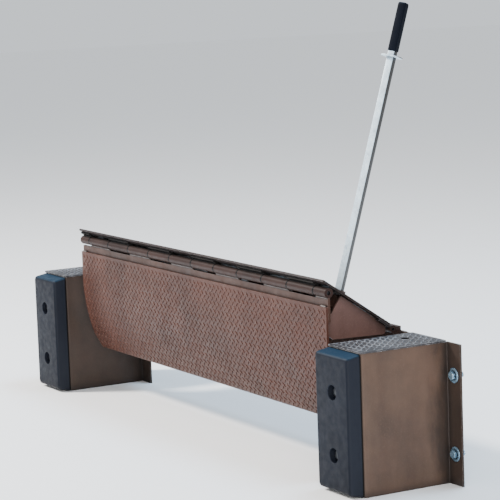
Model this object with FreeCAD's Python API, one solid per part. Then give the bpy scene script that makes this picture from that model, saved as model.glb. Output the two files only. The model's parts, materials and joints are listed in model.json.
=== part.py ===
"""Hand-operated edge-of-dock leveler with two bumper boxes.

The row frame: +X along the dock edge, +Y into the dock, +Z up. The origin lies on the dock face, at
mid-width, level with the dock floor. The deck is raised and the lip hangs from it.
"""
import FreeCAD
import Part
import math
import os

V = FreeCAD.Vector
os.makedirs("parts", exist_ok=True)

# ---- driving dimensions, millimetres and degrees ----
DECK_HALF_WIDTH = 839.0
HINGE_HALF_WIDTH = 838.2
DECK_SLOPE = 34.2
REAR_HINGE_Y = -30.5
REAR_HINGE_Z = 14.2
LIP_HINGE_Y = -254.4
LIP_HINGE_Z = 148.5
PLATE = 6.35

BOX_INNER_X = 910.0
BOX_WIDTH = 174.0
BOX_DEPTH = 304.5
BOX_TOP_Z = 12.0
BOX_BOTTOM_Z = -416.0
SHEET = 6.0
FLANGE = 65.0
BOX_TOP_THICKNESS = 5.0

BUMPER_THICKNESS = 48.0
BUMPER_BOLT_Z = (-113.0, -299.0)
COUNTERBORE_R = 22.5
COUNTERBORE_DEPTH = 25.0

BOLT_R = 8.0
BOLT_HOLE_R = 9.0
HEX_FLATS = 24.0
HEAD_HEIGHT = 10.0
NUT_HEIGHT = 13.0
WASHER_THICKNESS = 3.0
WASHER_R = 21.0
ANCHOR_WASHER_R = 22.5
ANCHOR_Z = (-88.0, -322.5)
ANCHOR_TAIL = 24.0
ANCHOR_HOLE_R = 10.0
ANCHOR_WASHER_HOLE_R = 9.3
BUMPER_WASHER_HOLE_R = 8.6

FRONT_TUBE_R = 15.0
FRONT_PIN_R = 6.7
REAR_TUBE_R = 12.0
REAR_PIN_R = 5.0
PIN_CLEARANCE = 0.05
PIN_RECESS = 6.0
KNUCKLES = 12
END_KNUCKLE = 68.2
KNUCKLE_GAP = 2.0
SPRING_WINDOWS = (4, 7)
SPRING_OUTER_R = 11.2
SPRING_INNER_R = 7.0

LIP_LEAF = 8.0
LIP_LEAF_DROP = 87.5
LIP_PLATE = 8.0
LIP_PLATE_TOP = 42.0
LIP_STRAIGHT_END = 131.0
LIP_CURVE_R = 653.0
LIP_CURVE_ANGLE = 24.0
LIP_CORNER = 26.0
LIP_CORNER_HEIGHT = 57.2

HANDLE_X = 746.0
HANDLE_TILT = 17.0
HANDLE_TWIST = 27.0
HANDLE_SIDE = 22.4
HANDLE_WALL = 2.0
LEVER_PIVOT = (104.4, -20.0)
CRANK_END = (157.0, -63.8)
LUG_HOLE = (37.5, -17.9)

# ---- sizes that follow ----
PLATE_TOP = 25.3
PLATE_UNDER = PLATE_TOP - PLATE
FRONT_EDGE = -36.0
SLOPE = math.radians(DECK_SLOPE)
HINGE_SPAN_Y = REAR_HINGE_Y - LIP_HINGE_Y
HINGE_SPAN_Z = REAR_HINGE_Z - LIP_HINGE_Z
REAR_HINGE_LOCAL_Y = HINGE_SPAN_Y * math.cos(SLOPE) - HINGE_SPAN_Z * math.sin(SLOPE)
REAR_HINGE_LOCAL_Z = HINGE_SPAN_Y * math.sin(SLOPE) + HINGE_SPAN_Z * math.cos(SLOPE)
PLATE_REAR_EDGE = REAR_HINGE_LOCAL_Y - 19.0
LEAF_THICKNESS = 6.0
LEAF_UNDER = PLATE_UNDER - LEAF_THICKNESS
BOX_OUTER_X = BOX_INNER_X + BOX_WIDTH
BOX_MID_X = BOX_INNER_X + BOX_WIDTH / 2
BUMPER_FRONT_Y = -BOX_DEPTH - BUMPER_THICKNESS
X_AXIS = V(1, 0, 0)
Z_AXIS = V(0, 0, 1)
ORIGIN = V(0, 0, 0)
LIP_HINGE = V(0, LIP_HINGE_Y, LIP_HINGE_Z)


# ---- helpers ----
def box(x0, x1, y0, y1, z0, z1):
    return Part.makeBox(x1 - x0, y1 - y0, z1 - z0, V(x0, y0, z0))


def rod(radius, start, end):
    span = end - start
    return Part.makeCylinder(radius, span.Length, start, span)


def rod_x(radius, x0, x1, y=0.0, z=0.0):
    return rod(radius, V(x0, y, z), V(x1, y, z))


def tube_x(outer, inner, x0, x1, y=0.0, z=0.0):
    return rod_x(outer, x0, x1, y, z).cut(rod_x(inner, x0 - 1, x1 + 1, y, z))


def prism_x(points, x0, x1):
    """A solid with a constant outline of (y, z) points, from x0 to x1."""
    corners = [V(x0, y, z) for y, z in points]
    face = Part.Face(Part.makePolygon(corners + corners[:1]))
    return face.extrude(V(x1 - x0, 0, 0))


def hexagon_y(flats, x, z, y0, y1):
    """A hexagonal prism along Y with a point up."""
    corner_r = flats / math.sqrt(3)
    corners = []
    for i in range(6):
        angle = math.radians(60 * i + 30)
        corners.append(V(x + corner_r * math.cos(angle), y0, z + corner_r * math.sin(angle)))
    face = Part.Face(Part.makePolygon(corners + corners[:1]))
    return face.extrude(V(0, y1 - y0, 0))


def fillet_edges(shape, radius, chosen):
    return shape.makeFillet(radius, [edge for edge in shape.Edges if chosen(edge)])


def is_upright(edge):
    first = edge.Vertexes[0].Point
    last = edge.Vertexes[-1].Point
    return abs(first.z - last.z) > 50 and abs(first.x - last.x) < 0.1 and abs(first.y - last.y) < 0.1


def mirror_x(shape):
    return shape.mirror(ORIGIN, X_AXIS)


def place_on_deck(shape):
    """Move a shape from the deck's level frame, with its origin at the lip hinge, to the raised deck."""
    placed = shape.copy()
    placed.rotate(ORIGIN, X_AXIS, -DECK_SLOPE)
    placed.translate(LIP_HINGE)
    return placed


def place_on_lever(shape):
    """Move a shape from the handle's own frame, centred on the lever pivot, to the raised deck."""
    placed = shape.copy()
    placed.rotate(ORIGIN, Z_AXIS, HANDLE_TWIST)
    placed.rotate(ORIGIN, X_AXIS, -HANDLE_TILT)
    placed.translate(LEVER_PIVOT_POINT)
    return placed


def deck_point(y, z, x=0.0):
    """A point given in the deck's level frame, moved to the raised deck."""
    return V(x, LIP_HINGE_Y + y * math.cos(SLOPE) + z * math.sin(SLOPE),
             LIP_HINGE_Z - y * math.sin(SLOPE) + z * math.cos(SLOPE))


LEVER_PIVOT_POINT = deck_point(LEVER_PIVOT[0], LEVER_PIVOT[1], HANDLE_X)
NODES = {}


def add(name, *solids):
    NODES[name] = solids[0] if len(solids) == 1 else Part.makeCompound(list(solids))


# ---- bumper boxes ----
def box_shell():
    """The right-hand folded shell: front, two sides and two flanges, open at the bottom and the back."""
    top = BOX_TOP_Z - BOX_TOP_THICKNESS
    hat = box(BOX_INNER_X, BOX_OUTER_X, -BOX_DEPTH, 0, BOX_BOTTOM_Z, top)
    flanges = box(BOX_INNER_X - FLANGE, BOX_OUTER_X + FLANGE, -SHEET, 0, BOX_BOTTOM_Z, top)
    hollow = box(BOX_INNER_X + SHEET, BOX_OUTER_X - SHEET, -BOX_DEPTH + SHEET, 1,
                 BOX_BOTTOM_Z - 1, top + 1)
    shell = hat.fuse(flanges).cut(hollow).removeSplitter()

    def outer_front(edge):
        return is_upright(edge) and edge.Vertexes[0].Point.y < -BOX_DEPTH + 0.1

    def inner_front(edge):
        return is_upright(edge) and abs(edge.Vertexes[0].Point.y + BOX_DEPTH - SHEET) < 0.1

    def flange_root(edge):
        point = edge.Vertexes[0].Point
        at_side = min(abs(point.x - BOX_INNER_X), abs(point.x - BOX_OUTER_X)) < 0.1
        return is_upright(edge) and at_side and abs(point.y + SHEET) < 0.1

    shell = fillet_edges(shell, SHEET * 1.5, outer_front)
    shell = fillet_edges(shell, SHEET / 2, inner_front)
    shell = fillet_edges(shell, SHEET / 2, flange_root)
    for z in BUMPER_BOLT_Z:
        start = V(BOX_MID_X, -BOX_DEPTH - 1, z)
        shell = shell.cut(rod(BOLT_HOLE_R, start, V(BOX_MID_X, -BOX_DEPTH + SHEET + 1, z)))
    for z in ANCHOR_Z:
        shell = shell.cut(rod(ANCHOR_HOLE_R, V(ANCHOR_X, -SHEET - 1, z), V(ANCHOR_X, 1, z)))
    return shell


def box_top():
    overhang = 2.5
    lifting_hole_r = 12.5
    lifting_hole_x = BOX_MID_X - 18
    lifting_hole_y = -82.0
    top = box(BOX_INNER_X - overhang, BOX_OUTER_X + overhang, -BOX_DEPTH - overhang, -SHEET - 2,
              BOX_TOP_Z - BOX_TOP_THICKNESS, BOX_TOP_Z)
    hole = rod(lifting_hole_r, V(lifting_hole_x, lifting_hole_y, -5),
               V(lifting_hole_x, lifting_hole_y, 20))
    corner_r = 6.0
    return fillet_edges(top, corner_r, lambda e: e.Length < BOX_TOP_THICKNESS + 0.1).cut(hole)


def bumper():
    """A moulded block whose top and bottom faces slope towards the front."""
    back = -BOX_DEPTH
    top = BOX_TOP_Z - 7.0
    top_slope = 9.0
    bottom_slope = 12.0
    edge_r = 8.0
    outline = [(back, BOX_BOTTOM_Z), (back, top), (BUMPER_FRONT_Y, top - top_slope),
               (BUMPER_FRONT_Y, BOX_BOTTOM_Z + bottom_slope)]
    block = prism_x(outline, BOX_INNER_X - 4, BOX_OUTER_X - 2)
    block = fillet_edges(block, edge_r, lambda e: abs(e.BoundBox.YMax - BUMPER_FRONT_Y) < 0.1)
    for z in BUMPER_BOLT_Z:
        start = V(BOX_MID_X, BUMPER_FRONT_Y - 1, z)
        block = block.cut(rod(COUNTERBORE_R, start, V(BOX_MID_X, BUMPER_FRONT_Y + COUNTERBORE_DEPTH, z)))
        block = block.cut(rod(BOLT_HOLE_R, start, V(BOX_MID_X, back + 1, z)))
    return block


def hex_bolt(x, z, seat_y, tip_y):
    """A bolt along Y whose head stands on the -Y side of its seat."""
    head = hexagon_y(HEX_FLATS, x, z, seat_y - HEAD_HEIGHT, seat_y)
    shank = rod(BOLT_R, V(x, seat_y, z), V(x, tip_y, z))
    return head.fuse(shank).removeSplitter()


def washer(x, z, y0, outer_r, hole_r):
    disc = rod(outer_r, V(x, y0, z), V(x, y0 + WASHER_THICKNESS, z))
    return disc.cut(rod(hole_r, V(x, y0 - 1, z), V(x, y0 + WASHER_THICKNESS + 1, z)))


def hex_nut(x, z, y0):
    nut = hexagon_y(HEX_FLATS, x, z, y0, y0 + NUT_HEIGHT)
    return nut.cut(rod(BOLT_R, V(x, y0 - 1, z), V(x, y0 + NUT_HEIGHT + 1, z)))


ANCHOR_X = BOX_OUTER_X + FLANGE / 2
BUMPER_SEAT_Y = BUMPER_FRONT_Y + COUNTERBORE_DEPTH - WASHER_THICKNESS
BUMPER_NUT_Y = -BOX_DEPTH + SHEET
ANCHOR_SEAT_Y = -SHEET - WASHER_THICKNESS
BUMPER_TIP_Y = BUMPER_NUT_Y + NUT_HEIGHT + 4

bumper_bolts = [hex_bolt(BOX_MID_X, z, BUMPER_SEAT_Y, BUMPER_TIP_Y) for z in BUMPER_BOLT_Z]
bumper_washers = [washer(BOX_MID_X, z, BUMPER_SEAT_Y, WASHER_R, BUMPER_WASHER_HOLE_R)
                  for z in BUMPER_BOLT_Z]
bumper_nuts = [hex_nut(BOX_MID_X, z, BUMPER_NUT_Y) for z in BUMPER_BOLT_Z]
anchor_bolts = [hex_bolt(ANCHOR_X, z, ANCHOR_SEAT_Y, ANCHOR_TAIL) for z in ANCHOR_Z]
anchor_washers = [washer(ANCHOR_X, z, ANCHOR_SEAT_Y, ANCHOR_WASHER_R, ANCHOR_WASHER_HOLE_R)
                  for z in ANCHOR_Z]

for side, turn in (("right", lambda s: s), ("left", mirror_x)):
    add(side + "_box_shell", turn(box_shell()))
    add(side + "_box_top", turn(box_top()))
    add(side + "_bumper", turn(bumper()))
    add(side + "_bumper_bolts", *[turn(s) for s in bumper_bolts])
    add(side + "_bumper_washers", *[turn(s) for s in bumper_washers])
    add(side + "_bumper_nuts", *[turn(s) for s in bumper_nuts])
    add(side + "_anchor_bolts", *[turn(s) for s in anchor_bolts])
    add(side + "_anchor_washers", *[turn(s) for s in anchor_washers])

# ---- fixed hinge frame ----
BAR_FRONT_Y = REAR_HINGE_Y + REAR_TUBE_R
BAR_REAR_Y = -3.0
ANGLE_THICKNESS = 8.0
ANGLE_DROP = 100.0
HINGE_BAR_HEIGHT = 15.5
APPROACH_REAR_Y = 20.0

angle_outline = [(0, 0), (BAR_FRONT_Y, 0), (BAR_FRONT_Y, -ANGLE_THICKNESS),
                 (-ANGLE_THICKNESS, -ANGLE_THICKNESS), (-ANGLE_THICKNESS, -ANGLE_DROP), (0, -ANGLE_DROP)]
WALL_REACH = BOX_INNER_X - FLANGE
add("mounting_angle", prism_x(angle_outline, -WALL_REACH, WALL_REACH))
APPROACH_REAR_EDGE = 2.0
approach_outline = [(BAR_FRONT_Y, 0), (APPROACH_REAR_Y, 0), (APPROACH_REAR_Y, APPROACH_REAR_EDGE),
                    (BAR_REAR_Y + 4, PLATE), (BAR_FRONT_Y, PLATE)]
add("approach_plate", prism_x(approach_outline, -DECK_HALF_WIDTH, DECK_HALF_WIDTH))
add("hinge_bar", box(-DECK_HALF_WIDTH, DECK_HALF_WIDTH, BAR_FRONT_Y, BAR_REAR_Y,
                     PLATE, PLATE + HINGE_BAR_HEIGHT))


def knuckle_spans():
    """The x-range of each knuckle from the right-hand end, with short ones at the two ends."""
    full = (2 * HINGE_HALF_WIDTH - 2 * END_KNUCKLE) / (KNUCKLES - 2)
    spans = []
    x = HINGE_HALF_WIDTH
    for i in range(KNUCKLES):
        length = END_KNUCKLE if i in (0, KNUCKLES - 1) else full
        right = x - (KNUCKLE_GAP / 2 if i > 0 else 0)
        left = x - length + (KNUCKLE_GAP / 2 if i < KNUCKLES - 1 else 0)
        spans.append((left, right))
        x -= length
    return spans


SPANS = knuckle_spans()
FRAME_KNUCKLES = [i for i in range(0, KNUCKLES, 2) if i not in SPRING_WINDOWS]
DECK_REAR_KNUCKLES = [i for i in range(1, KNUCKLES, 2) if i not in SPRING_WINDOWS]
LIP_KNUCKLES = list(range(0, KNUCKLES, 2))
DECK_FRONT_KNUCKLES = list(range(1, KNUCKLES, 2))


def rear_knuckle(i):
    left, right = SPANS[i]
    return tube_x(REAR_TUBE_R, REAR_PIN_R + PIN_CLEARANCE, left, right, REAR_HINGE_Y, REAR_HINGE_Z)


add("frame_knuckles", *[rear_knuckle(i) for i in FRAME_KNUCKLES])
add("rear_hinge_pin", rod_x(REAR_PIN_R, -HINGE_HALF_WIDTH + PIN_RECESS, HINGE_HALF_WIDTH - PIN_RECESS,
                            REAR_HINGE_Y, REAR_HINGE_Z))
for side, i in zip(("right", "left"), SPRING_WINDOWS):
    left, right = SPANS[i]
    end_gap = 3.0
    add(side + "_spring", tube_x(SPRING_OUTER_R, SPRING_INNER_R, left + end_gap, right - end_gap,
                                 REAR_HINGE_Y, REAR_HINGE_Z))

# ---- deck ----
SLOT_WIDTH = 46.0
SLOT_START_Y = 62.0
SLOT_END_Y = 197.0
FRONT_LEAF_START_Y = -24.0
FRONT_LEAF_END_Y = 36.0
REAR_LEAF_START_Y = 200.0
KNUCKLE_ROOM = 16.0
RIB_THICKNESS = 8.0
RIB_X = (-540.0, -270.0, 0.0, 270.0, 540.0)
SKIRT_X = 812.0


def deck_plate():
    plate = box(-DECK_HALF_WIDTH, DECK_HALF_WIDTH, FRONT_EDGE, PLATE_REAR_EDGE, PLATE_UNDER, PLATE_TOP)
    height = 40.0
    slot = box(HANDLE_X - SLOT_WIDTH / 2, HANDLE_X + SLOT_WIDTH / 2, SLOT_START_Y, SLOT_END_Y, 0, height)
    return plate.cut(fillet_edges(slot, SLOT_WIDTH / 4, lambda e: abs(e.Length - height) < 0.1))


def front_leaf():
    leaf = box(-DECK_HALF_WIDTH, DECK_HALF_WIDTH, FRONT_LEAF_START_Y, FRONT_LEAF_END_Y,
               LEAF_UNDER, PLATE_UNDER)
    for i in LIP_KNUCKLES:
        left, right = SPANS[i]
        leaf = leaf.cut(box(left - KNUCKLE_GAP, right + KNUCKLE_GAP, FRONT_LEAF_START_Y - 6,
                            FRONT_TUBE_R + 3, 0, PLATE_UNDER + 1))
    for i in DECK_FRONT_KNUCKLES:
        left, right = SPANS[i]
        leaf = leaf.cut(rod_x(FRONT_TUBE_R, left - 1, right + 1))
    return leaf


def rear_leaf():
    leaf = box(-DECK_HALF_WIDTH, DECK_HALF_WIDTH, REAR_LEAF_START_Y, REAR_HINGE_LOCAL_Y,
               LEAF_UNDER, PLATE_UNDER)
    for i in FRAME_KNUCKLES + list(SPRING_WINDOWS):
        left, right = SPANS[i]
        leaf = leaf.cut(box(left - KNUCKLE_GAP, right + KNUCKLE_GAP, REAR_HINGE_LOCAL_Y - KNUCKLE_ROOM,
                            REAR_HINGE_LOCAL_Y + 1, 0, PLATE_UNDER + 1))
    leaf = leaf.cut(rod_x(REAR_TUBE_R, -DECK_HALF_WIDTH - 1, DECK_HALF_WIDTH + 1,
                          REAR_HINGE_LOCAL_Y, REAR_HINGE_LOCAL_Z))
    return leaf.cut(box(-DECK_HALF_WIDTH - 1, DECK_HALF_WIDTH + 1, REAR_HINGE_LOCAL_Y - 4, 300, 0, 40))


def skirt(x0):
    """A side gusset: its front edge stands just behind the hanging lip."""
    outline = [(-199.2, 131.6), (-241.5, 74.3), (-247.0, 60.0), (-247.0, 15.0), (-232.0, 4.0),
               (-52.0, -0.8), (-45.6, 5.0), (-45.6, 27.3)]
    return prism_x(outline, x0, x0 + PLATE)


def deck_rib(x0):
    """A stiffener under the plate, between the two hinge leaves."""
    front = FRONT_LEAF_END_Y + 2
    rear = REAR_LEAF_START_Y - 2
    outline = [(front, PLATE_UNDER), (rear, PLATE_UNDER), (rear, 8), (160, -30), (96, -30),
               (60, 0), (front, 6)]
    return place_on_deck(prism_x(outline, x0 - RIB_THICKNESS / 2, x0 + RIB_THICKNESS / 2))


add("deck_plate", place_on_deck(deck_plate()))
add("deck_front_leaf", place_on_deck(front_leaf()))
add("deck_rear_leaf", place_on_deck(rear_leaf()))
add("deck_front_knuckles", *[place_on_deck(tube_x(FRONT_TUBE_R, FRONT_PIN_R + PIN_CLEARANCE, *SPANS[i]))
                             for i in DECK_FRONT_KNUCKLES])
add("deck_rear_knuckles", *[rear_knuckle(i) for i in DECK_REAR_KNUCKLES])
for side, turn in (("right", lambda s: s), ("left", mirror_x)):
    add(side + "_deck_skirt", turn(skirt(SKIRT_X)).cut(NODES["deck_plate"]).cut(NODES["deck_front_leaf"])
        .cut(NODES["deck_rear_leaf"]))
add("deck_ribs", *[deck_rib(x) for x in RIB_X])

# ---- lip ----
def lip_curve_point(radius_offset, angle):
    """A point on the lip's curve; the offset is measured outwards from the front surface."""
    front_y = LIP_HINGE_Y - LIP_LEAF / 2 - LIP_PLATE
    centre_y = front_y + LIP_CURVE_R
    radius = LIP_CURVE_R + radius_offset
    a = math.radians(angle)
    return V(0, centre_y - radius * math.cos(a), LIP_HINGE_Z - LIP_STRAIGHT_END - radius * math.sin(a))


def lip_plate():
    front_y = LIP_HINGE_Y - LIP_LEAF / 2 - LIP_PLATE
    back_y = front_y + LIP_PLATE
    top = LIP_HINGE_Z - LIP_PLATE_TOP
    bend = LIP_HINGE_Z - LIP_STRAIGHT_END
    front_mid = lip_curve_point(0, LIP_CURVE_ANGLE / 2)
    front_end = lip_curve_point(0, LIP_CURVE_ANGLE)
    back_mid = lip_curve_point(-LIP_PLATE, LIP_CURVE_ANGLE / 2)
    back_end = lip_curve_point(-LIP_PLATE, LIP_CURVE_ANGLE)
    edges = [Part.makeLine(V(0, front_y, top), V(0, front_y, bend)),
             Part.Arc(V(0, front_y, bend), front_mid, front_end).toShape(),
             Part.makeLine(front_end, back_end),
             Part.Arc(back_end, back_mid, V(0, back_y, bend)).toShape(),
             Part.makeLine(V(0, back_y, bend), V(0, back_y, top)),
             Part.makeLine(V(0, back_y, top), V(0, front_y, top))]
    plate = Part.Face(Part.Wire(edges)).extrude(V(2 * HINGE_HALF_WIDTH, 0, 0))
    plate.translate(V(-HINGE_HALF_WIDTH, 0, 0))
    low = front_end.z - 5
    ahead_y = -400.0
    for sign in (-1, 1):
        outer_x = sign * (HINGE_HALF_WIDTH + 1)
        triangle = [V(outer_x, ahead_y, low), V(outer_x, ahead_y, low + LIP_CORNER_HEIGHT),
                    V(sign * (HINGE_HALF_WIDTH - LIP_CORNER), ahead_y, low)]
        wedge = Part.Face(Part.makePolygon(triangle + triangle[:1])).extrude(V(0, -ahead_y, 0))
        plate = plate.cut(wedge)
    return plate


def lip_leaf():
    leaf = box(-HINGE_HALF_WIDTH, HINGE_HALF_WIDTH,
               LIP_HINGE_Y - LIP_LEAF / 2, LIP_HINGE_Y + LIP_LEAF / 2,
               LIP_HINGE_Z - LIP_LEAF_DROP, LIP_HINGE_Z - FRONT_TUBE_R + 3)
    for i in DECK_FRONT_KNUCKLES:
        left, right = SPANS[i]
        leaf = leaf.cut(box(left - KNUCKLE_GAP, right + KNUCKLE_GAP, LIP_HINGE_Y - 10, LIP_HINGE_Y + 10,
                            LIP_HINGE_Z - FRONT_TUBE_R - 5, LIP_HINGE_Z))
    for i in LIP_KNUCKLES:
        left, right = SPANS[i]
        leaf = leaf.cut(rod_x(FRONT_TUBE_R, left - 1, right + 1, LIP_HINGE_Y, LIP_HINGE_Z))
    return leaf


def lip_lug():
    """The lug behind the lip leaf that the push link drives, with its pin's hole."""
    back_y = LIP_HINGE_Y + LIP_LEAF / 2
    hole = deck_point(*LUG_HOLE, HANDLE_X)
    outline = [(back_y, LIP_HINGE_Z - 24), (hole.y + 2, hole.z + 11), (hole.y + 11, hole.z + 3),
               (hole.y + 9, hole.z - 8), (back_y, LIP_HINGE_Z - 78)]
    lug = prism_x(outline, HANDLE_X - LUG_THICKNESS / 2, HANDLE_X + LUG_THICKNESS / 2)
    return lug.cut(rod_x(LINK_PIN_R, HANDLE_X - 20, HANDLE_X + 20, hole.y, hole.z))


LUG_THICKNESS = 10.0
LINK_PIN_R = 5.0
add("lip_plate", lip_plate())
add("lip_leaf", lip_leaf())
add("lip_knuckles", *[tube_x(FRONT_TUBE_R, FRONT_PIN_R + PIN_CLEARANCE, *SPANS[i],
                             LIP_HINGE_Y, LIP_HINGE_Z)
                      for i in LIP_KNUCKLES])
add("lip_hinge_pin", rod_x(FRONT_PIN_R, -HINGE_HALF_WIDTH + PIN_RECESS, HINGE_HALF_WIDTH - PIN_RECESS,
                           LIP_HINGE_Y, LIP_HINGE_Z))
add("lip_lug", lip_lug())

# ---- lift lever, link and handle ----
SOCKET_SIDE = 31.0
SOCKET_BORE = 23.4
SOCKET_FOOT = 16.0
SOCKET_TOP = 66.0
BRACKET_THICKNESS = 8.0
BRACKET_INNER = 24.0
PIVOT_PIN_R = 7.0
CRANK_THICKNESS = 10.0
LINK_THICKNESS = 8.0
LINK_SIDE_GAP = 2.0
LINK_BAR_R = 7.0
LINK_EYE_R = 11.6
LINK_EYE_WALL = 3.0
BOSS_R = 11.0
CRANK_ROOT_R = 15.0
CRANK_END_R = 11.0
PIN_HEAD_THICKNESS = 4.0
SIDE_CLEARANCE = 0.5


def square_bar(side, z0, z1, corner):
    bar = box(-side / 2, side / 2, -side / 2, side / 2, z0, z1)
    return fillet_edges(bar, corner, lambda e: abs(e.Length - (z1 - z0)) < 0.01)


def lever_socket():
    tube = square_bar(SOCKET_SIDE, SOCKET_FOOT, SOCKET_TOP, 3)
    bore = square_bar(SOCKET_BORE, SOCKET_FOOT + 4, SOCKET_TOP + 1, 2.5)
    return place_on_lever(tube.cut(bore))


def link_plate(start, end, start_r, end_r, x0, x1):
    """A flat bar with rounded ends between two centres given in the deck's level frame."""
    dy = end[0] - start[0]
    dz = end[1] - start[1]
    length = math.hypot(dy, dz)
    ny = -dz / length
    nz = dy / length

    def beside(centre, offset):
        return centre[0] + ny * offset, centre[1] + nz * offset

    corners = [beside(start, start_r), beside(end, end_r), beside(end, -end_r), beside(start, -start_r)]
    plate = prism_x(corners, x0, x1)
    plate = plate.fuse(rod_x(start_r, x0, x1, *start)).fuse(rod_x(end_r, x0, x1, *end))
    return plate.removeSplitter()


def crank_arm():
    """The lever's boss and arm: the socket stands on it and its end drives the push link."""
    x0 = HANDLE_X - CRANK_THICKNESS / 2
    x1 = HANDLE_X + CRANK_THICKNESS / 2
    arm = link_plate(LEVER_PIVOT, CRANK_END, CRANK_ROOT_R, CRANK_END_R, x0, x1)
    boss_reach = BRACKET_INNER - SIDE_CLEARANCE
    boss = rod_x(BOSS_R, HANDLE_X - boss_reach, HANDLE_X + boss_reach, *LEVER_PIVOT)
    arm = arm.fuse(boss).removeSplitter()
    arm = arm.cut(rod_x(PIVOT_PIN_R + PIN_CLEARANCE, x0 - 50, x1 + 50, *LEVER_PIVOT))
    arm = arm.cut(rod_x(LINK_PIN_R, x0 - 1, x1 + 1, *CRANK_END))
    seat = place_on_lever(square_bar(SOCKET_SIDE, SOCKET_FOOT / 2, SOCKET_FOOT, 3))
    placed = place_on_deck(arm).fuse(seat).removeSplitter()
    pin_bore = place_on_deck(rod_x(PIVOT_PIN_R + PIN_CLEARANCE, x0 - 50, x1 + 50, *LEVER_PIVOT))
    return placed.cut(pin_bore)


def pivot_bracket(sign):
    """One cheek of the bracket that hangs from the deck plate and carries the pivot pin."""
    inner = HANDLE_X + sign * BRACKET_INNER
    outer = inner + sign * BRACKET_THICKNESS
    y, z = LEVER_PIVOT
    outline = [(y - 32, PLATE_UNDER), (y + 32, PLATE_UNDER), (y + 18, z - 8), (y + 8, z - 17),
               (y - 8, z - 17), (y - 18, z - 8)]
    cheek = prism_x(outline, min(inner, outer), max(inner, outer))
    return place_on_deck(cheek.cut(rod_x(PIVOT_PIN_R, HANDLE_X - 60, HANDLE_X + 60, y, z)))


def push_link():
    """The bar between the crank and the lip's lug; its front eye is loose around the lug's pin."""
    x0 = HANDLE_X + CRANK_THICKNESS / 2 + LINK_SIDE_GAP
    x1 = x0 + LINK_THICKNESS
    link = link_plate(CRANK_END, LUG_HOLE, LINK_BAR_R, LINK_BAR_R, x0, x1)
    link = link.fuse(rod_x(LINK_PIN_R + LINK_EYE_WALL, x0, x1, *CRANK_END))
    link = link.fuse(rod_x(LINK_EYE_R + LINK_EYE_WALL, x0, x1, *LUG_HOLE)).removeSplitter()
    link = link.cut(rod_x(LINK_PIN_R + PIN_CLEARANCE, x0 - 1, x1 + 1, *CRANK_END))
    return place_on_deck(link.cut(rod_x(LINK_EYE_R, x0 - 1, x1 + 1, *LUG_HOLE)))


PIN_OUTER = BRACKET_INNER + BRACKET_THICKNESS
LINK_OUTER_X = HANDLE_X + CRANK_THICKNESS / 2 + LINK_SIDE_GAP + LINK_THICKNESS
add("pivot_bracket", pivot_bracket(1), pivot_bracket(-1))
pivot_pin = rod_x(PIVOT_PIN_R, HANDLE_X - PIN_OUTER - 3, HANDLE_X + PIN_OUTER + 3, *LEVER_PIVOT)
add("lever_pivot_pin", place_on_deck(pivot_pin))
add("lever_socket", lever_socket())
add("crank_arm", crank_arm())


def headed_pin(centre, foot_x, head_r):
    """A link pin with a head outside the link."""
    shank = rod_x(LINK_PIN_R, foot_x, LINK_OUTER_X + 1, *centre)
    head = rod_x(head_r, LINK_OUTER_X + 1, LINK_OUTER_X + 1 + PIN_HEAD_THICKNESS, *centre)
    return place_on_deck(shank.fuse(head).removeSplitter())


add("crank_pin", headed_pin(CRANK_END, HANDLE_X - CRANK_THICKNESS / 2, LINK_PIN_R + 3))
add("lug_pin", headed_pin(LUG_HOLE, HANDLE_X - LUG_THICKNESS / 2, LINK_EYE_R + 2))
add("push_link", push_link())

HANDLE_FOOT = SOCKET_FOOT + 4.5
HANDLE_TOP = 953.0
GUARD_Z = 787.0
GUARD_R = 33.5
GUARD_THICKNESS = 3.0
GRIP_START = 805.0
GRIP_END = 948.0
GRIP_SIDE = 27.0
CAP_DEPTH = 12.0

tube = square_bar(HANDLE_SIDE, HANDLE_FOOT, HANDLE_TOP, 2.5)
tube = tube.cut(square_bar(HANDLE_SIDE - 2 * HANDLE_WALL, HANDLE_FOOT - 1, HANDLE_TOP + 1, 1))
grip_hole = square_bar(HANDLE_SIDE, GRIP_START - 1, GRIP_END + 1, 2.5)
guard = Part.makeCylinder(GUARD_R, GUARD_THICKNESS, V(0, 0, GUARD_Z))
add("handle_tube", place_on_lever(tube))
add("hand_guard", place_on_lever(guard.cut(square_bar(HANDLE_SIDE, GUARD_Z - 1, GUARD_Z + 9, 2.5))))
add("hand_grip", place_on_lever(square_bar(GRIP_SIDE, GRIP_START, GRIP_END, 4).cut(grip_hole)))
plug = square_bar(HANDLE_SIDE - 2 * HANDLE_WALL, HANDLE_TOP - CAP_DEPTH, HANDLE_TOP, 1)
cap = square_bar(HANDLE_SIDE, HANDLE_TOP, HANDLE_TOP + 2, 2.5)
add("handle_cap", place_on_lever(plug.fuse(cap)))

for node, shape in NODES.items():
    shape.exportStep("parts/" + node + ".step")
    print(node, len(shape.Solids), "solids", round(shape.Volume / 1000), "cm3", shape.isValid())
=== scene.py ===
"""The looks of an edge-of-dock leveler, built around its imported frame. Lengths are in metres."""
import json
import math

import bmesh
import bpy
from mathutils import Matrix, Vector


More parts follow.
